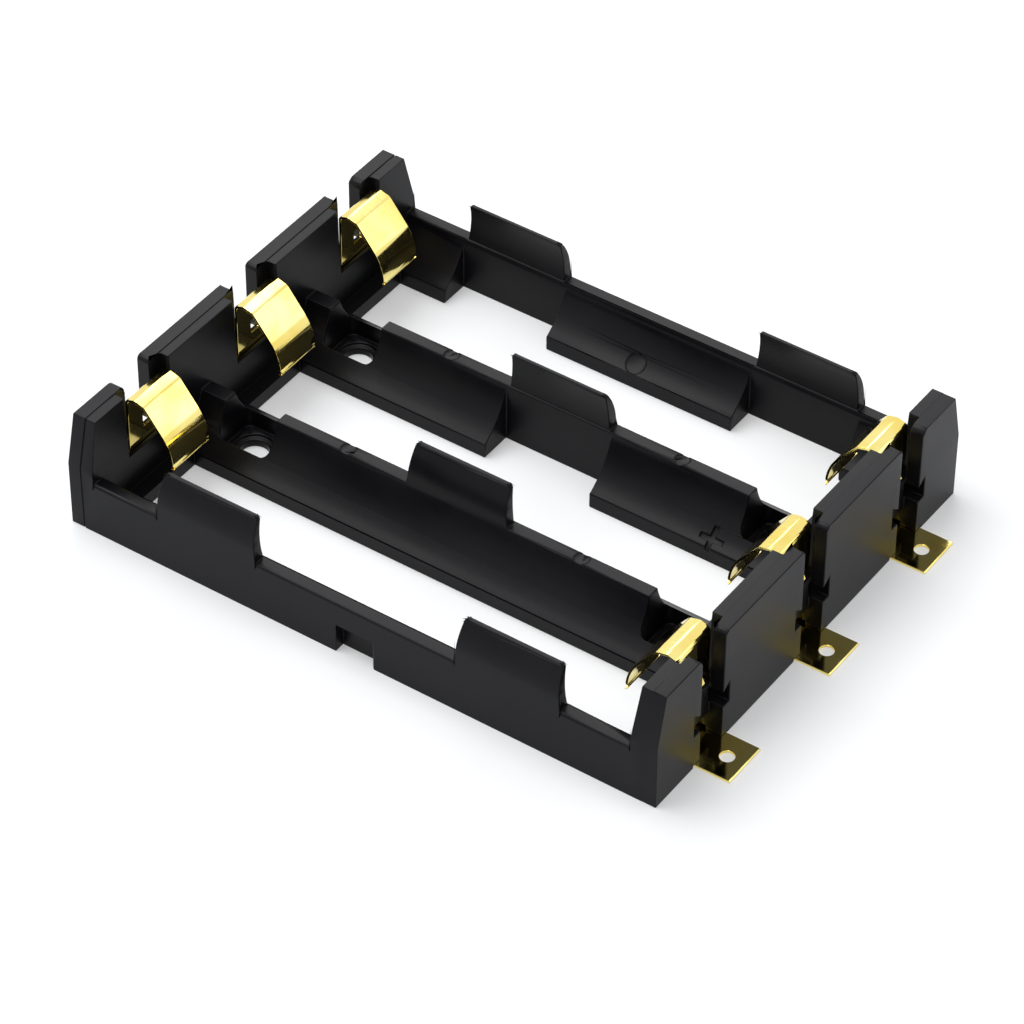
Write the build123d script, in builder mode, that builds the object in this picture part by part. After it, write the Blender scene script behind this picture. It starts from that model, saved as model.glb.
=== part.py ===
"""Holder for three 18650 cells: one moulded frame and six folded leaf contacts.

All sizes in millimetres.  +X runs along the cells, +Y across the three bays,
+Z up from the board the holder stands on.  The origin is the centre of the base.
"""

import math
import os

from build123d import *

# --- overall -------------------------------------------------------------
BODY_LENGTH = 77.7         # over the two end walls
POST_HEIGHT = 14.9         # top of the corner posts
BLOCK_HEIGHT = 15.4        # top of the end walls between two bays
BAY_PITCH = 19.75          # from one cell to the next
BAY_RADIUS = 9.3           # concave seat, a little over a 18.4 mm cell
BAY_AXIS_Z = 9.9           # height of the cell axis
BAY_GAP = 9.6              # open slot in the floor of each bay
SIDE_WALL = 1.2            # side wall outside the outer bays, at the cell axis

# --- rails and side walls ------------------------------------------------
RAIL_HEIGHT = 7.85
SADDLE_HEIGHT = 7.4        # rail top between screw pocket and end wall
SIDE_HEIGHT = 7.1
SIDE_ROUND = 0.4           # outer upper edge of the side walls
NOTCH_WIDTH = 4.9          # notch under the middle of each side wall
NOTCH_HEIGHT = 3.9
NOTCH_DEPTH = 1.3

# --- screw pockets -------------------------------------------------------
POCKET_SETBACK = 3.45      # from the inner face of the end wall
POCKET_LENGTH = 7.1
POCKET_HALF_WIDTH = 3.0
POCKET_FLOOR = 1.3
POCKET_CORNER = 1.0
SCREW_SETBACK = 3.1        # screw axis, from the outer end of the pocket
SCREW_HOLE = 3.4
SCREW_RING = 4.7           # shallow step round the screw hole
RING_DEPTH = 0.3

# --- end walls -----------------------------------------------------------
SKIN_THICKNESS = 1.65      # outer layer of the end wall
WALL_THICKNESS = 3.4       # outer and inner layer together
BAR_REACH = 1.9            # floor bar in front of the end wall
BAR_HEIGHT = 1.8
CORNER_LEAN = 1.45         # outer corners lean in above this height
CORNER_LEAN_Z = 8.7
POST_ROUND = 0.9           # upper corner of a post beside the slot
BLOCK_ROUND = 0.6
FACE_DRAFT = 0.4           # the inner face leans back by this much at the top
GROOVE_WIDTH = 0.22        # line between the two layers round the edge of the wall
GROOVE_DEPTH = 0.25

# --- contact seat in the end wall ----------------------------------------
SEAT_HALF_WIDTH = 4.0      # pocket in the inner layer
SEAT_FLOOR = 6.6
SLOT_WIDTH = 4.3           # slot through the outer layer, open at the top
WINDOW_REACH = 1.25        # windows on both sides of the slot
WINDOW_LOW = 4.6
WINDOW_HIGH = 7.0
WINDOW_DEPTH = 2.7
BRIDGE_TOP = 7.6           # bar across the slot behind the outer face
BRIDGE_LOW = 3.0
BRIDGE_RECESS = 0.85
SLIT_CLEARANCE = 0.05

# --- cell clips ----------------------------------------------------------
CLIP_LENGTH = 13.5
CLIP_DRAFT = 0.45          # each end of the clip draws in towards the top
CLIP_DRAFT_Z = 7.4
CLIP_CORNER = 0.5
CLIP_TIP = 0.45            # thickness of the top edge
CLIP_BEND = 8.6            # outer face is upright below, curved above
CLIP_ROOT_Z = 0.4
CLIP_ROOT_TOP = 6.0        # the concave inner face starts here
CLIP_WAIST_Z = 9.5         # and is deepest here
SIDE_CLIP_SETBACK = 15.55  # middle of a side clip, from the end wall
SIDE_CLIP_TOP = 12.55
SIDE_CLIP_LEAN = 1.47
SIDE_CLIP_WAIST = 1.32     # thickness at the waist, from the upright outer face
SIDE_WALL_THICKNESS = 1.85  # side wall under a clip
RAIL_CLIP_X = -0.4
RAIL_CLIP_TOP = 12.9
RAIL_CLIP_LEAN = 1.05      # inner edge of the tip, from the middle of the rail
RAIL_CLIP_WAIST = 0.6      # inner face at the waist, from the middle of the rail
RAIL_CLIP_ROOT = 1.7
RELIEF_SIDE = 14.4         # length cut from the seat under a side clip
RELIEF_RAIL = 14.2

# --- leaf contacts -------------------------------------------------------
SHEET = 0.3
LEAF_WIDTH = 6.4
TAB_WIDTH = 6.0
STEM_INSET = 2.55          # outer face of the stem, behind the face of the wall
TAB_REACH = 4.2            # solder tab beyond the wall
TAB_HOLE_REACH = 2.1
TAB_HOLE = 1.7
LEAF_TOP = 14.25
FOLD_RADIUS = 0.45
FOLD_REACH = 1.3           # top of the fold, from the stem
BEND_REACH = 2.55          # start of the straight slope
BEND_DROP = 0.35
SLOPE_REACH = 4.8          # end of the straight slope
SLOPE_END_Z = 11.04
CURL_RADIUS = 6.5          # the lower half curls down to the tip
CURL_ANGLE = 40
TIP_CORNER = 0.7
TAB_SHOULDER = 0.9         # the tab narrows this far out from the stem
TANG_WIDTH = 1.5
TANG_LOW = 8.5
TANG_ROOT = 10.6
TANG_REACH = 1.7

# --- small marks ---------------------------------------------------------
PLUS_SETBACK = 2.6         # from the inner end of the screw pocket
PLUS_OFFSET = 5.7          # from the middle of the bay, on its curved seat
PLUS_SIZE = 3.0
PLUS_STROKE = 0.6
MARK_DEPTH = 0.25
PIN_SETBACK = 9.3          # ejector marks on the rail tops, from the screw pocket
PIN_DIAMETER = 1.8
DISC_X = -1.0              # larger ejector mark on the seat of the third bay
DISC_OFFSET = 5.9
DISC_DIAMETER = 2.5
PIN_DEPTH = 0.12

HALF_LENGTH = BODY_LENGTH / 2
HALF_WIDTH = BAY_PITCH + BAY_RADIUS + SIDE_WALL
BODY_WIDTH = 2 * HALF_WIDTH
WALL_INNER = HALF_LENGTH - WALL_THICKNESS
SKIN_INNER = HALF_LENGTH - SKIN_THICKNESS
POCKET_OUTER = WALL_INNER - POCKET_SETBACK
POCKET_INNER = POCKET_OUTER - POCKET_LENGTH
SCREW_X = POCKET_OUTER - SCREW_SETBACK
SIDE_CLIP_X = WALL_INNER - SIDE_CLIP_SETBACK
STEM_X = HALF_LENGTH - STEM_INSET
TAB_END = HALF_LENGTH + TAB_REACH
TAB_HOLE_X = HALF_LENGTH + TAB_HOLE_REACH
PLUS_X = POCKET_INNER - PLUS_SETBACK
PIN_X = POCKET_INNER - PIN_SETBACK
BAYS = [-BAY_PITCH, 0.0, BAY_PITCH]
RAILS = [-BAY_PITCH / 2, BAY_PITCH / 2]
ENDS = [-1, 1]


def wall_outline(inset):
    """Corners of an end wall, or of the wall drawn in by an inset."""
    return [
        (-HALF_WIDTH + inset, -inset),
        (HALF_WIDTH - inset, -inset),
        (HALF_WIDTH - inset, CORNER_LEAN_Z),
        (HALF_WIDTH - CORNER_LEAN - inset, POST_HEIGHT - inset),
        (BAY_PITCH, POST_HEIGHT - inset),
        (BAY_PITCH, BLOCK_HEIGHT - inset),
        (-BAY_PITCH, BLOCK_HEIGHT - inset),
        (-BAY_PITCH, POST_HEIGHT - inset),
        (-HALF_WIDTH + CORNER_LEAN + inset, POST_HEIGHT - inset),
        (-HALF_WIDTH + inset, CORNER_LEAN_Z),
    ]


def box(x0, x1, y0, y1, z0, z1, mode=Mode.ADD):
    """Box between two corners given in any order."""
    with Locations(((x0 + x1) / 2, (y0 + y1) / 2, (z0 + z1) / 2)):
        Box(abs(x1 - x0), abs(y1 - y0), abs(z1 - z0), mode=mode)


def mark_plane(x, bay, offset):
    """Plane that touches the concave seat at a distance from the bay centre."""
    lean = math.asin(offset / BAY_RADIUS)
    return Plane(
        origin=(x, bay + offset, BAY_AXIS_Z - BAY_RADIUS * math.cos(lean)),
        x_dir=(1, 0, 0),
        z_dir=(0, -math.sin(lean), math.cos(lean)),
    )


# clip on the far side wall: upright outside low down, then curving over the cell
with BuildPart() as side_clip:
    with BuildSketch(Plane.YZ):
        with BuildLine():
            Line((HALF_WIDTH, CLIP_ROOT_Z), (HALF_WIDTH, CLIP_BEND))
            TangentArc(
                (HALF_WIDTH, CLIP_BEND),
                (HALF_WIDTH - SIDE_CLIP_LEAN, SIDE_CLIP_TOP),
                tangent=(0, 1),
            )
            Line(
                (HALF_WIDTH - SIDE_CLIP_LEAN, SIDE_CLIP_TOP),
                (HALF_WIDTH - SIDE_CLIP_LEAN - CLIP_TIP, SIDE_CLIP_TOP),
            )
            ThreePointArc(
                (HALF_WIDTH - SIDE_CLIP_LEAN - CLIP_TIP, SIDE_CLIP_TOP),
                (HALF_WIDTH - SIDE_CLIP_WAIST, CLIP_WAIST_Z),
                (HALF_WIDTH - SIDE_WALL_THICKNESS, CLIP_ROOT_TOP),
            )
            Polyline(
                (HALF_WIDTH - SIDE_WALL_THICKNESS, CLIP_ROOT_TOP),
                (HALF_WIDTH - SIDE_WALL_THICKNESS, CLIP_ROOT_Z),
                (HALF_WIDTH, CLIP_ROOT_Z),
            )
        make_face()
    extrude(amount=CLIP_LENGTH, both=True)
    with BuildSketch(Plane.XZ.offset(-HALF_WIDTH)) as side_outline:
        with BuildLine():
            Polyline(
                (-CLIP_LENGTH / 2, CLIP_ROOT_Z),
                (CLIP_LENGTH / 2, CLIP_ROOT_Z),
                (CLIP_LENGTH / 2, CLIP_DRAFT_Z),
                (CLIP_LENGTH / 2 - CLIP_DRAFT, SIDE_CLIP_TOP),
                (-CLIP_LENGTH / 2 + CLIP_DRAFT, SIDE_CLIP_TOP),
                (-CLIP_LENGTH / 2, CLIP_DRAFT_Z),
                close=True,
            )
        make_face()
        fillet(side_outline.vertices().group_by(Axis.Y)[-1], CLIP_CORNER)
    extrude(amount=BAY_PITCH / 2, both=True, mode=Mode.INTERSECT)

# clip of an inner rail, drawn at the origin and curving towards +Y
with BuildPart() as rail_clip:
    with BuildSketch(Plane.YZ):
        with BuildLine():
            Line((-RAIL_CLIP_ROOT / 2, CLIP_ROOT_Z), (-RAIL_CLIP_ROOT / 2, CLIP_BEND))
            TangentArc(
                (-RAIL_CLIP_ROOT / 2, CLIP_BEND),
                (RAIL_CLIP_LEAN - CLIP_TIP, RAIL_CLIP_TOP),
                tangent=(0, 1),
            )
            Line(
                (RAIL_CLIP_LEAN - CLIP_TIP, RAIL_CLIP_TOP),
                (RAIL_CLIP_LEAN, RAIL_CLIP_TOP),
            )
            ThreePointArc(
                (RAIL_CLIP_LEAN, RAIL_CLIP_TOP),
                (RAIL_CLIP_WAIST, CLIP_WAIST_Z),
                (RAIL_CLIP_ROOT / 2, CLIP_ROOT_TOP),
            )
            Polyline(
                (RAIL_CLIP_ROOT / 2, CLIP_ROOT_TOP),
                (RAIL_CLIP_ROOT / 2, CLIP_ROOT_Z),
                (-RAIL_CLIP_ROOT / 2, CLIP_ROOT_Z),
            )
        make_face()
    extrude(amount=CLIP_LENGTH, both=True)
    with BuildSketch(Plane.XZ) as rail_outline:
        with BuildLine():
            Polyline(
                (-CLIP_LENGTH / 2, CLIP_ROOT_Z),
                (CLIP_LENGTH / 2, CLIP_ROOT_Z),
                (CLIP_LENGTH / 2, CLIP_DRAFT_Z),
                (CLIP_LENGTH / 2 - CLIP_DRAFT, RAIL_CLIP_TOP),
                (-CLIP_LENGTH / 2 + CLIP_DRAFT, RAIL_CLIP_TOP),
                (-CLIP_LENGTH / 2, CLIP_DRAFT_Z),
                close=True,
            )
        make_face()
        fillet(rail_outline.vertices().group_by(Axis.Y)[-1], CLIP_CORNER)
    extrude(amount=BAY_PITCH / 2, both=True, mode=Mode.INTERSECT)


with BuildPart() as frame:
    # side walls and inner rails in one long section
    with BuildSketch(Plane.YZ) as section:
        with Locations((0, SIDE_HEIGHT / 2)):
            Rectangle(BODY_WIDTH, SIDE_HEIGHT)
        for rail in RAILS:
            with Locations((rail, RAIL_HEIGHT / 2)):
                Rectangle(BAY_PITCH / 2, RAIL_HEIGHT)
        for bay in BAYS:
            with Locations((bay, BAY_AXIS_Z)):
                Circle(BAY_RADIUS, mode=Mode.SUBTRACT)
            with Locations((bay, BAY_AXIS_Z / 2)):
                Rectangle(BAY_GAP, BAY_AXIS_Z, mode=Mode.SUBTRACT)
        side_tops = section.vertices().filter_by_position(
            Axis.Y, SIDE_HEIGHT - 0.01, SIDE_HEIGHT + 0.01
        ).sort_by(Axis.X)
        fillet([side_tops[0], side_tops[-1]], SIDE_ROUND)
    extrude(amount=WALL_INNER, both=True)

    # rail tops step down beside the screw pockets
    for rail in RAILS:
        for end in ENDS:
            box(
                end * POCKET_INNER, end * WALL_INNER,
                rail - 2, rail + 2,
                SADDLE_HEIGHT, RAIL_HEIGHT + 1,
                Mode.SUBTRACT,
            )

    # end walls: leaning corner posts and two blocks, parted by the slots
    for end in ENDS:
        with BuildSketch(Plane.YZ.offset(end * WALL_INNER)) as wall:
            with BuildLine():
                Polyline(*wall_outline(0), close=True)
            make_face()
            for bay in BAYS:
                with Locations((bay, (BLOCK_HEIGHT + 0.6) / 2)):
                    Rectangle(SLOT_WIDTH, BLOCK_HEIGHT, mode=Mode.SUBTRACT)
            fillet(wall.vertices().group_by(Axis.Y)[-1], BLOCK_ROUND)
            post_tops = wall.vertices().filter_by_position(
                Axis.Y, POST_HEIGHT - 0.1, POST_HEIGHT + 0.1
            )
            beside_slot = post_tops.filter_by_position(
                Axis.X, -BAY_PITCH - SLOT_WIDTH, BAY_PITCH + SLOT_WIDTH
            )
            fillet(beside_slot, POST_ROUND)
        extrude(amount=end * WALL_THICKNESS)

        # inner face leans back a little towards the top
        with BuildSketch(Plane.XZ):
            with BuildLine():
                Polyline(
                    (end * WALL_INNER, RAIL_HEIGHT),
                    (end * (WALL_INNER + FACE_DRAFT), BLOCK_HEIGHT),
                    (end * (WALL_INNER - 1), BLOCK_HEIGHT + 1),
                    (end * (WALL_INNER - 1), RAIL_HEIGHT),
                    close=True,
                )
            make_face()
        extrude(amount=BODY_WIDTH, both=True, mode=Mode.SUBTRACT)

        # floor bar in front of the wall
        box(
            end * (WALL_INNER - BAR_REACH), end * (WALL_INNER + 0.5),
            -HALF_WIDTH, HALF_WIDTH, 0, BAR_HEIGHT,
        )

        # groove between the outer and inner layer, over the top and down the sides
        with BuildSketch(Plane.YZ.offset(end * (SKIN_INNER - GROOVE_WIDTH))):
            with BuildLine():
                Polyline(*wall_outline(0), close=True)
            make_face()
            with BuildLine():
                Polyline(*wall_outline(GROOVE_DEPTH), close=True)
            make_face(mode=Mode.SUBTRACT)
        extrude(amount=end * GROOVE_WIDTH, mode=Mode.SUBTRACT)

        for bay in BAYS:
            # pocket in the inner layer that the contact moves in
            box(
                end * (WALL_INNER - 0.5), end * SKIN_INNER,
                bay - SEAT_HALF_WIDTH, bay + SEAT_HALF_WIDTH,
                SEAT_FLOOR, BLOCK_HEIGHT + 1,
                Mode.SUBTRACT,
            )
            # solid seat under the pocket, then the bar across the slot
            box(
                end * WALL_INNER, end * STEM_X,
                bay - SEAT_HALF_WIDTH - 0.3, bay + SEAT_HALF_WIDTH + 0.3,
                BAR_HEIGHT / 2, SEAT_FLOOR,
            )
            box(
                end * STEM_X, end * (HALF_LENGTH - BRIDGE_RECESS),
                bay - SLOT_WIDTH / 2 - 0.5, bay + SLOT_WIDTH / 2 + 0.5,
                BRIDGE_LOW, BRIDGE_TOP,
            )
            # windows on both sides of the slot
            for side in ENDS:
                edge = bay + side * SLOT_WIDTH / 2
                with BuildSketch(Plane.YZ.offset(end * (HALF_LENGTH - WINDOW_DEPTH))):
                    with BuildLine():
                        Polyline(
                            (edge - side * 0.2, WINDOW_LOW),
                            (edge + side * WINDOW_REACH, WINDOW_LOW),
                            (edge + side * WINDOW_REACH, WINDOW_HIGH + 0.6),
                            (edge - side * 0.2, WINDOW_HIGH - 0.4),
                            close=True,
                        )
                    make_face()
                extrude(amount=end * (WINDOW_DEPTH + 1), mode=Mode.SUBTRACT)
            # slit that the stem stands in and relief over the solder tab
            slit_half = LEAF_WIDTH / 2 + SLIT_CLEARANCE
            slit_inner = STEM_X - SHEET - SLIT_CLEARANCE
            box(
                end * slit_inner, end * STEM_X,
                bay - slit_half, bay + slit_half,
                -1, SEAT_FLOOR + 1.5,
                Mode.SUBTRACT,
            )
            box(
                end * slit_inner, end * (HALF_LENGTH + 1),
                bay - slit_half, bay + slit_half,
                -1, SHEET,
                Mode.SUBTRACT,
            )
            box(
                end * slit_inner, end * (STEM_X + FOLD_RADIUS),
                bay - slit_half, bay + slit_half,
                -1, SHEET + FOLD_RADIUS,
                Mode.SUBTRACT,
            )

    # screw pockets and screw holes in the ends of the inner rails
    for rail in RAILS:
        for end in ENDS:
            middle = (POCKET_INNER + POCKET_OUTER) / 2
            with BuildSketch(Plane.XY.offset(POCKET_FLOOR)):
                with Locations((end * middle, rail)):
                    RectangleRounded(
                        POCKET_OUTER - POCKET_INNER,
                        2 * POCKET_HALF_WIDTH,
                        POCKET_CORNER,
                    )
            extrude(amount=RAIL_HEIGHT, mode=Mode.SUBTRACT)
            with Locations((end * SCREW_X, rail, POCKET_FLOOR - RING_DEPTH)):
                Cylinder(
                    SCREW_RING / 2, RAIL_HEIGHT,
                    align=(Align.CENTER, Align.CENTER, Align.MIN),
                    mode=Mode.SUBTRACT,
                )
            with Locations((end * SCREW_X, rail, 0)):
                Cylinder(SCREW_HOLE / 2, 2 * POCKET_FLOOR + 1, mode=Mode.SUBTRACT)

    # seat cut away under every clip, then the clips themselves
    for side in ENDS:
        bay_edge = side * (HALF_WIDTH - SIDE_WALL_THICKNESS)
        for end in ENDS:
            x_clip = end * SIDE_CLIP_X
            box(
                x_clip - RELIEF_SIDE / 2, x_clip + RELIEF_SIDE / 2,
                bay_edge, side * (BAY_PITCH + BAY_GAP / 2 - 0.5),
                -1, SIDE_HEIGHT + 1,
                Mode.SUBTRACT,
            )
            with Locations(Location((x_clip, 0, 0), (0, 0, 90 - 90 * side))):
                add(side_clip.part)
    for rail in RAILS:
        lean = -math.copysign(1, rail)
        box(
            RAIL_CLIP_X - RELIEF_RAIL / 2, RAIL_CLIP_X + RELIEF_RAIL / 2,
            rail + lean * RAIL_CLIP_ROOT / 2, -lean * (BAY_GAP / 2 - 0.5),
            -1, RAIL_HEIGHT + 1,
            Mode.SUBTRACT,
        )
        with Locations(Location((RAIL_CLIP_X, rail, 0), (0, 0, 90 - 90 * lean))):
            add(rail_clip.part)

    # notch under the middle of each side wall
    for side in ENDS:
        box(
            -NOTCH_WIDTH / 2, NOTCH_WIDTH / 2,
            side * (HALF_WIDTH - NOTCH_DEPTH), side * (HALF_WIDTH + 1),
            -1, NOTCH_HEIGHT,
            Mode.SUBTRACT,
        )

    # polarity cross and ejector mark on the seats, ejector marks on the rails
    with BuildSketch(mark_plane(PLUS_X, 0, PLUS_OFFSET)):
        Rectangle(PLUS_SIZE, PLUS_STROKE)
        Rectangle(PLUS_STROKE, PLUS_SIZE)
    extrude(amount=MARK_DEPTH, both=True, mode=Mode.SUBTRACT)
    with BuildSketch(mark_plane(DISC_X, BAY_PITCH, DISC_OFFSET)):
        Circle(DISC_DIAMETER / 2)
    extrude(amount=PIN_DEPTH, both=True, mode=Mode.SUBTRACT)
    for rail in RAILS:
        for end in ENDS:
            with Locations((end * PIN_X, rail, RAIL_HEIGHT)):
                Cylinder(PIN_DIAMETER / 2, 2 * PIN_DEPTH, mode=Mode.SUBTRACT)

frame.part.label = "holder_frame"


# one contact at the +X end of the middle bay: tab, stem, top fold, leaf, curled tip
STEM_MIDDLE = STEM_X - SHEET / 2
with BuildPart() as leaf:
    with BuildSketch(Plane.XZ) as sheet:
        with BuildLine():
            FilletPolyline(
                (TAB_END, SHEET / 2),
                (STEM_MIDDLE, SHEET / 2),
                (STEM_MIDDLE, LEAF_TOP - 0.4),
                (STEM_X - FOLD_REACH, LEAF_TOP),
                (STEM_X - BEND_REACH, LEAF_TOP - BEND_DROP),
                (STEM_X - SLOPE_REACH, SLOPE_END_Z),
                radius=FOLD_RADIUS,
            )
            curl = JernArc(
                (STEM_X - SLOPE_REACH, SLOPE_END_Z),
                (BEND_REACH - SLOPE_REACH, SLOPE_END_Z - LEAF_TOP + BEND_DROP),
                CURL_RADIUS,
                CURL_ANGLE,
            )
            offset(amount=SHEET / 2, side=Side.BOTH)
        make_face()
    extrude(amount=LEAF_WIDTH / 2, both=True)
    # rounded corners at the free tip
    tip_z = (curl @ 1).Y
    with BuildSketch(Plane.YZ.offset(STEM_X - SLOPE_REACH)):
        for side in ENDS:
            with Locations((side * (LEAF_WIDTH - TIP_CORNER) / 2, tip_z + TIP_CORNER / 2)):
                Rectangle(TIP_CORNER, TIP_CORNER)
            with Locations((side * (LEAF_WIDTH / 2 - TIP_CORNER), tip_z + TIP_CORNER)):
                Circle(TIP_CORNER, mode=Mode.SUBTRACT)
    extrude(amount=-3, mode=Mode.SUBTRACT)
    # the solder tab is a little narrower than the stem and has a hole
    for side in ENDS:
        box(
            STEM_X + TAB_SHOULDER, TAB_END + 1,
            side * TAB_WIDTH / 2, side * LEAF_WIDTH,
            -1, SHEET + 1,
            Mode.SUBTRACT,
        )
    with Locations((TAB_HOLE_X, 0, 0)):
        Cylinder(TAB_HOLE / 2, 4 * SHEET, mode=Mode.SUBTRACT)
    # locking tang pushed out of the stem, with the window it leaves behind
    box(
        STEM_MIDDLE - SHEET, STEM_MIDDLE + SHEET,
        -TANG_WIDTH / 2, TANG_WIDTH / 2,
        TANG_LOW, TANG_ROOT,
        Mode.SUBTRACT,
    )
    with BuildSketch(Plane.XZ):
        with BuildLine():
            Polyline(
                (STEM_X - SHEET, TANG_ROOT),
                (STEM_X, TANG_ROOT),
                (STEM_X + TANG_REACH, TANG_LOW + SHEET / 2),
                (STEM_X + TANG_REACH - SHEET / 2, TANG_LOW),
                (STEM_X - SHEET, TANG_ROOT - SHEET),
                close=True,
            )
        make_face()
    extrude(amount=TANG_WIDTH / 2, both=True)

os.makedirs("parts", exist_ok=True)
export_step(frame.part, "parts/holder_frame.step")
for end_name, turn in (("left", 180), ("right", 0)):
    for number, bay in enumerate(BAYS, start=1):
        with BuildPart() as contact:
            with Locations(Location((0, bay, 0), (0, 0, turn))):
                add(leaf.part)
        contact.part.label = f"{end_name}_contact_{number}"
        export_step(contact.part, f"parts/{contact.part.label}.step")
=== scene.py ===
"""Looks of the three-cell holder: satin black moulding and polished gilt contacts."""

import math

import bmesh
import bpy
from mathutils import Matrix, Vector


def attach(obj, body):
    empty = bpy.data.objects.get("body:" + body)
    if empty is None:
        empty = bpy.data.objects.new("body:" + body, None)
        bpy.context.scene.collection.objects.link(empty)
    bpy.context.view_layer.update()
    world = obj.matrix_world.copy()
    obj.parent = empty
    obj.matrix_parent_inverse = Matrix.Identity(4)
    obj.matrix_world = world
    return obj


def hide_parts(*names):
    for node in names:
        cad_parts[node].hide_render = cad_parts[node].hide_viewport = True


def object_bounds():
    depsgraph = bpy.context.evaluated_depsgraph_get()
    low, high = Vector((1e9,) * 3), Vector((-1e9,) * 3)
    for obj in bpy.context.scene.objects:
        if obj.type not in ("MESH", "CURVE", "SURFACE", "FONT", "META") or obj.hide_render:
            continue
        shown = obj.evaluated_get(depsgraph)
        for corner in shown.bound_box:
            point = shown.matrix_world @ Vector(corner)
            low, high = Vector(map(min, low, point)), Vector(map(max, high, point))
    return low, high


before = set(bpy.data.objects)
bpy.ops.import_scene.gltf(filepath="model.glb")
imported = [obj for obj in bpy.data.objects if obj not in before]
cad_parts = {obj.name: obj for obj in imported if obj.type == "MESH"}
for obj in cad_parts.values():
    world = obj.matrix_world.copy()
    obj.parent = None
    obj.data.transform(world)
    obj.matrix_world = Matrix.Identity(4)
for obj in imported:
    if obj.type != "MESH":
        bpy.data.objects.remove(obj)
cad_low, cad_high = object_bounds()

FRAME_NODE = "holder_frame"
CONTACT_NODES = sorted(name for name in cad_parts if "_contact_" in name)

# Sizes are in millimetres. x and y are measured from the middle of the holder.
MM = 0.001
NEAR = 0.02                  # a corner this close to a plane lies on it

BAY_PITCH = 19.75
BAYS = (-BAY_PITCH, 0.0, BAY_PITCH)
SIDE_FACE = cad_high[1] / MM
BLOCK_TOP = cad_high[2] / MM
POST_DROP = 0.5              # end walls are lower beside the side walls
POST_TOP = BLOCK_TOP - POST_DROP

# line between the two layers of an end wall
GROOVE_INNER = 36.98
GROOVE_OUTER = 37.20
GROOVE_DEPTH = 0.25
GROOVE_LEFT_DEPTH = 0.12     # what stays of it at the -X end
GROOVE_FLOORS = (POST_TOP - GROOVE_DEPTH, BLOCK_TOP - GROOVE_DEPTH)
GROOVE_LOWEST = 14.6         # it runs over the tops above this height
GROOVE_SIDE = 28.5           # and down the sides beyond this width
SHOULDER = 1.8               # width in which it turns from the top to the side
SLOT_REACH = 3.05            # half the width of a slot with its rounded corners
SLOT_END_LIFT = 0.1          # the line is filled by less where it meets a slot

# bar across each slot in the end walls
BAR_FACE = 38.0
BAR_SET_BACK = 37.1
BAR_HALF_WIDTH = 2.7
BAR_LOW, BAR_HIGH = 2.9, 7.7

# locking tang behind each contact's stem
STEM_FACE = 36.3
TANG_LOW, TANG_HIGH = 8, 10.7
TANG_SHARE = 0.7             # how much of its reach and of its width is kept

# moulded edges are a little rounded, the cut edges of the thin strip less
FRAME_EDGE = 0.12 * MM
CONTACT_EDGE = 0.035 * MM
GROOVE_EDGE_SHARE = 0.3
ROUNDED_STEPS = 2
SHARP_ANGLE = math.radians(28)
SQUARE_ON = 0.9999           # a face this true to an axis counts as square
BROAD_FACE_WEIGHT = 100      # broad faces settle the shading of their corners
WELD = 0.0001 * MM
WELD_AFTER_TRIM = 0.001 * MM


# --- materials -------------------------------------------------------------

def new_material(name):
    material = bpy.data.materials.new(name)
    material.use_nodes = True
    tree = material.node_tree
    shader = tree.nodes["Principled BSDF"]
    return material, tree, shader


def object_coordinates(tree):
    """Place on the piece itself, in metres."""
    return tree.nodes.new("ShaderNodeTexCoord").outputs["Object"]


def noise(tree, vector, scale, detail, roughness=0.5):
    node = tree.nodes.new("ShaderNodeTexNoise")
    node.inputs["Scale"].default_value = scale
    node.inputs["Detail"].default_value = detail
    node.inputs["Roughness"].default_value = roughness
    tree.links.new(vector, node.inputs["Vector"])
    return node.outputs["Fac"]


def spread(tree, value, low, high, start=0.35, stop=0.65):
    """Stretches a noise value between two limits."""
    node = tree.nodes.new("ShaderNodeMapRange")
    node.inputs["From Min"].default_value = start
    node.inputs["From Max"].default_value = stop
    node.inputs["To Min"].default_value = low
    node.inputs["To Max"].default_value = high
    tree.links.new(value, node.inputs["Value"])
    return node.outputs["Result"]


def colour_between(tree, value, dark, light):
    node = tree.nodes.new("ShaderNodeMix")
    node.data_type = "RGBA"
    node.inputs["A"].default_value = (*dark, 1)
    node.inputs["B"].default_value = (*light, 1)
    tree.links.new(value, node.inputs["Factor"])
    return node.outputs["Result"]


def bump(tree, value, strength, distance):
    node = tree.nodes.new("ShaderNodeBump")
    node.inputs["Strength"].default_value = strength
    node.inputs["Distance"].default_value = distance
    tree.links.new(value, node.inputs["Height"])
    return node.outputs["Normal"]


def black_moulding():
    """Black plastic with fine grain, faint flow marks and a satin gloss."""
    material, tree, shader = new_material("black_moulding")
    place = object_coordinates(tree)
    grain = noise(tree, place, 5200, 3, 0.6)
    flow = noise(tree, place, 90, 4)
    colour = colour_between(
        tree, spread(tree, flow, 0, 1), (0.0032, 0.0031, 0.0044), (0.0058, 0.0057, 0.0074)
    )
    tree.links.new(colour, shader.inputs["Base Color"])
    tree.links.new(spread(tree, flow, 0.30, 0.38), shader.inputs["Roughness"])
    tree.links.new(bump(tree, grain, 0.25, 0.02 * MM), shader.inputs["Normal"])
    shader.inputs["IOR"].default_value = 1.48
    shader.inputs["Specular IOR Level"].default_value = 0.15
    return material


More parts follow.
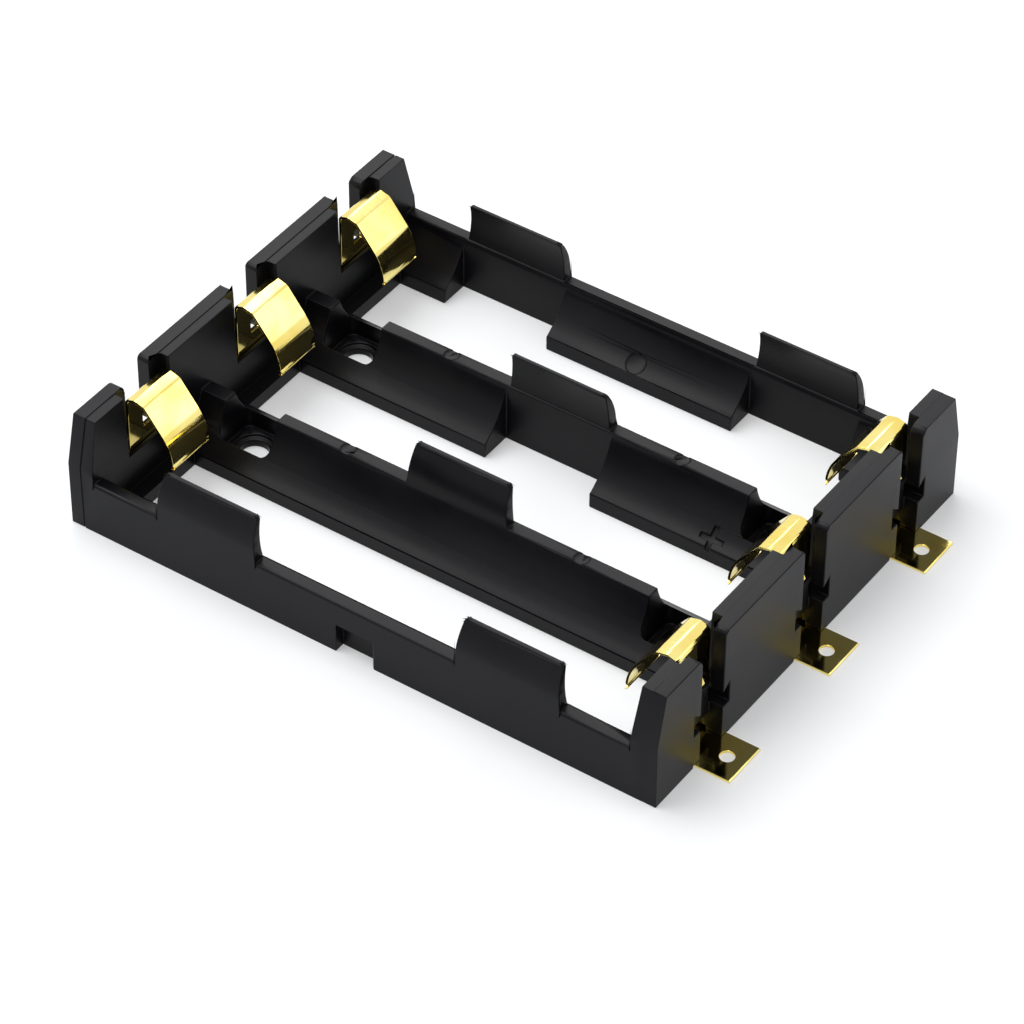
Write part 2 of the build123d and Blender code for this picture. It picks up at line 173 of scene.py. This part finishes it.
def gilt_strip():
    """Polished gold plating over spring bronze, with faint rolling lines."""
    material, tree, shader = new_material("gilt_strip")
    place = object_coordinates(tree)
    stretch = tree.nodes.new("ShaderNodeMapping")
    stretch.inputs["Scale"].default_value = (0.15, 6, 0.15)
    tree.links.new(place, stretch.inputs["Vector"])
    rolled = noise(tree, stretch.outputs["Vector"], 900, 3)
    cloud = noise(tree, place, 260, 2)
    colour = colour_between(
        tree, spread(tree, cloud, 0, 1), (0.93, 0.73, 0.19), (0.97, 0.83, 0.30)
    )
    tree.links.new(colour, shader.inputs["Base Color"])
    tree.links.new(spread(tree, rolled, 0.06, 0.12), shader.inputs["Roughness"])
    tree.links.new(bump(tree, rolled, 0.04, 0.01 * MM), shader.inputs["Normal"])
    shader.inputs["Metallic"].default_value = 1
    return material


def pale_floor():
    """White table that keeps the shadow and looks white to the eye and in gloss."""
    material = bpy.data.materials.new("pale_floor")
    material.use_nodes = True
    tree = material.node_tree
    tree.nodes.clear()
    matt = tree.nodes.new("ShaderNodeBsdfDiffuse")
    matt.inputs["Color"].default_value = (*FLOOR_COLOUR, 1)
    glow = tree.nodes.new("ShaderNodeEmission")
    glow.inputs["Strength"].default_value = FLOOR_GLOW
    both = tree.nodes.new("ShaderNodeAddShader")
    tree.links.new(matt.outputs[0], both.inputs[0])
    tree.links.new(glow.outputs[0], both.inputs[1])
    pick = tree.nodes.new("ShaderNodeMixShader")
    tree.links.new(seen_directly(tree), pick.inputs["Fac"])
    tree.links.new(matt.outputs[0], pick.inputs[1])
    tree.links.new(both.outputs[0], pick.inputs[2])
    out = tree.nodes.new("ShaderNodeOutputMaterial")
    tree.links.new(pick.outputs[0], out.inputs["Surface"])
    return material


def seen_directly(tree):
    """1 for camera, glossy and transmission rays, 0 for the rays that light things."""
    path = tree.nodes.new("ShaderNodeLightPath")
    first = tree.nodes.new("ShaderNodeMath")
    first.operation = "MAXIMUM"
    tree.links.new(path.outputs["Is Camera Ray"], first.inputs[0])
    tree.links.new(path.outputs["Is Glossy Ray"], first.inputs[1])
    second = tree.nodes.new("ShaderNodeMath")
    second.operation = "MAXIMUM"
    tree.links.new(first.outputs[0], second.inputs[0])
    tree.links.new(path.outputs["Is Transmission Ray"], second.inputs[1])
    return second.outputs[0]


# --- pieces ----------------------------------------------------------------

def link(obj):
    bpy.context.scene.collection.objects.link(obj)
    return obj


def nearest_bay(y):
    return min(BAYS, key=lambda middle: abs(middle - y))


def in_groove(point):
    """True on or beside the line between the two layers of an end wall."""
    x, y, z = (abs(value) / MM for value in point)
    between_layers = GROOVE_INNER - NEAR < x < GROOVE_OUTER + NEAR
    return between_layers and (z > GROOVE_LOWEST or y > GROOVE_SIDE)


def on_bar(x, y, z):
    """True on the outer face of the bar across a slot."""
    from_bay = abs(y - nearest_bay(y))
    on_face = abs(abs(x) - BAR_FACE) < NEAR
    return on_face and from_bay < BAR_HALF_WIDTH and BAR_LOW < z < BAR_HIGH


def groove_lift(x, y):
    """How much of the groove's depth is filled: all at +X, about half at -X."""
    if x > 0:
        return GROOVE_DEPTH
    lift = GROOVE_DEPTH - GROOVE_LEFT_DEPTH
    if abs(y - nearest_bay(y)) < SLOT_REACH:
        lift = min(lift, SLOT_END_LIFT)
    return lift


def trim_frame(shell):
    """Closes the groove at the +X end, thins it at the other, sets the bars back."""
    for vert in shell.verts:
        x, y, z = (value / MM for value in vert.co)
        if on_bar(x, y, z):
            vert.co.x = math.copysign(BAR_SET_BACK * MM, x)
            continue
        if not in_groove(vert.co):
            continue
        lift = groove_lift(x, y)
        if min(abs(z - level) for level in GROOVE_FLOORS) < NEAR:
            vert.co.z += lift * MM
            if abs(y) > SIDE_FACE - SHOULDER:
                vert.co.y += math.copysign(lift * MM, y)
        elif abs(abs(y) - (SIDE_FACE - GROOVE_DEPTH)) < NEAR:
            vert.co.y += math.copysign(lift * MM, y)


def trim_contact(shell):
    """Makes the locking tang behind the stem a little smaller."""
    for vert in shell.verts:
        x, y, z = (value / MM for value in vert.co)
        if abs(x) > STEM_FACE + NEAR and TANG_LOW < z < TANG_HIGH:
            bay = nearest_bay(y)
            reach = STEM_FACE + (abs(x) - STEM_FACE) * TANG_SHARE
            vert.co.x = math.copysign(reach * MM, x)
            vert.co.y = (bay + (y - bay) * TANG_SHARE) * MM


def weigh_edges(shell):
    """Marks the edges to be rounded: the sharp ones, with less beside the groove."""
    weight = shell.edges.layers.float.new("bevel_weight_edge")
    for edge in shell.edges:
        if len(edge.link_faces) == 2 and edge.calc_face_angle(0) > SHARP_ANGLE:
            beside = all(in_groove(vert.co) for vert in edge.verts)
            edge[weight] = GROOVE_EDGE_SHARE if beside else 1.0


def lies_square(face):
    """True where a face points straight along one axis."""
    return max(abs(value) for value in face.normal) > SQUARE_ON


def trimmed_mesh(node, trim, folded):
    """Copy of a solid's mesh, welded and trimmed. Folded strip keeps flat faces."""
    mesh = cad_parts[node].data.copy()
    mesh.name = node + "_finished"
    shell = bmesh.new()
    shell.from_mesh(mesh)
    bmesh.ops.remove_doubles(shell, verts=shell.verts, dist=WELD)
    trim(shell)
    bmesh.ops.remove_doubles(shell, verts=shell.verts, dist=WELD_AFTER_TRIM)
    weigh_edges(shell)
    shell.normal_update()
    for face in shell.faces:
        face.smooth = not (folded and lies_square(face))
    shell.to_mesh(mesh)
    shell.free()
    return mesh


def round_edges(piece, width, keep_sharp):
    """Rounds the marked edges, while broad faces go on looking flat."""
    rounded = piece.modifiers.new("edges", "BEVEL")
    rounded.width = width
    rounded.segments = ROUNDED_STEPS
    rounded.limit_method = "WEIGHT"
    rounded.use_clamp_overlap = False
    shading = piece.modifiers.new("flat_faces_stay_flat", "WEIGHTED_NORMAL")
    shading.mode = "FACE_AREA"
    shading.weight = BROAD_FACE_WEIGHT
    shading.keep_sharp = keep_sharp


def finished(node, edge_width, trim, material, slot):
    """Copy of a node with rounded edges and its finish, in the node's place."""
    folded = slot == "contact"
    mesh = trimmed_mesh(node, trim, folded)
    mesh.materials.clear()
    mesh.materials.append(material)
    piece = link(bpy.data.objects.new(node + "_finished", mesh))
    round_edges(piece, edge_width, folded)
    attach(piece, "root")
    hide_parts(node)


moulding = black_moulding()
gilt = gilt_strip()
finished(FRAME_NODE, FRAME_EDGE, trim_frame, moulding, "frame")
for contact in CONTACT_NODES:
    finished(contact, CONTACT_EDGE, trim_contact, gilt, "contact")


# --- floor, light and camera -------------------------------------------------

FLOOR_HALF = 3               # metres, from the middle to each side
FLOOR_LEVEL = -0.02 * MM     # just clear of the underside
FLOOR_COLOUR = (0.59, 0.60, 0.615)
FLOOR_GLOW = 0.33
SKY_LIGHT = 0.5
ROOM_WHITE = 1.0

# softboxes, each with its place and size in metres and its power in watts
SOFTBOXES = (
    ("top_softbox", (-0.35, -0.10, 0.85), 0.8, 8.0),
    ("back_softbox", (-0.32, 0.46, 0.52), 0.4, 1.4),
    ("side_softbox", (0.8, 0.45, 0.5), 0.5, 0.8),
)

CAMERA_PLACE = Vector((0.22346, -0.32422, 0.35287))
CAMERA_AIM = Vector((0.0004, -0.00117, 0.0))
CAMERA_ROLL = math.radians(0.32)
CAMERA_LENS = 166.63         # millimetres, on a sensor as wide as below
SENSOR_WIDTH = 36
CAMERA_RISE = 0.002          # share of the view by which the lens is shifted up


def pale_table():
    """Broad floor under the holder."""
    far, level = FLOOR_HALF, FLOOR_LEVEL
    corners = [(-far, -far, level), (far, -far, level), (far, far, level), (-far, far, level)]
    mesh = bpy.data.meshes.new("floor")
    mesh.from_pydata(corners, [], [(0, 1, 2, 3)])
    floor = link(bpy.data.objects.new("floor", mesh))
    mesh.materials.append(pale_floor())
    return floor


def white_light(tree, strength):
    node = tree.nodes.new("ShaderNodeBackground")
    node.inputs["Color"].default_value = (1, 1, 1, 1)
    node.inputs["Strength"].default_value = strength
    return node


def white_studio():
    """Room that looks white, with a softer sky that does the lighting."""
    world = bpy.data.worlds.new("studio")
    bpy.context.scene.world = world
    world.use_nodes = True
    tree = world.node_tree
    tree.nodes.clear()
    soft_sky = white_light(tree, SKY_LIGHT)
    white_room = white_light(tree, ROOM_WHITE)
    choose = tree.nodes.new("ShaderNodeMixShader")
    tree.links.new(seen_directly(tree), choose.inputs["Fac"])
    tree.links.new(soft_sky.outputs[0], choose.inputs[1])
    tree.links.new(white_room.outputs[0], choose.inputs[2])
    out = tree.nodes.new("ShaderNodeOutputWorld")
    tree.links.new(choose.outputs[0], out.inputs["Surface"])


def area_light(name, place, size, power):
    """Square softbox that faces the middle of the holder."""
    lamp = bpy.data.lights.new(name, "AREA")
    lamp.shape = "SQUARE"
    lamp.size = size
    lamp.energy = power
    softbox = link(bpy.data.objects.new(name, lamp))
    softbox.location = place
    softbox.rotation_euler = (-Vector(place)).to_track_quat("-Z", "Y").to_euler()


def long_lens_camera():
    """Camera high over the near right corner, with a long lens."""
    lens = bpy.data.cameras.new("camera")
    lens.lens = CAMERA_LENS
    lens.sensor_width = SENSOR_WIDTH
    lens.shift_y = CAMERA_RISE
    lens.clip_start = 0.01
    lens.clip_end = 20
    camera = link(bpy.data.objects.new("camera", lens))
    camera.location = CAMERA_PLACE
    camera.rotation_mode = "QUATERNION"
    camera.rotation_quaternion = (
        (CAMERA_AIM - CAMERA_PLACE).to_track_quat("-Z", "Y")
        @ Matrix.Rotation(CAMERA_ROLL, 3, "Z").to_quaternion()
    )
    return camera


pale_table()
white_studio()
for softbox in SOFTBOXES:
    area_light(*softbox)
bpy.context.scene.camera = long_lens_camera()
bpy.context.scene.view_settings.view_transform = "Standard"
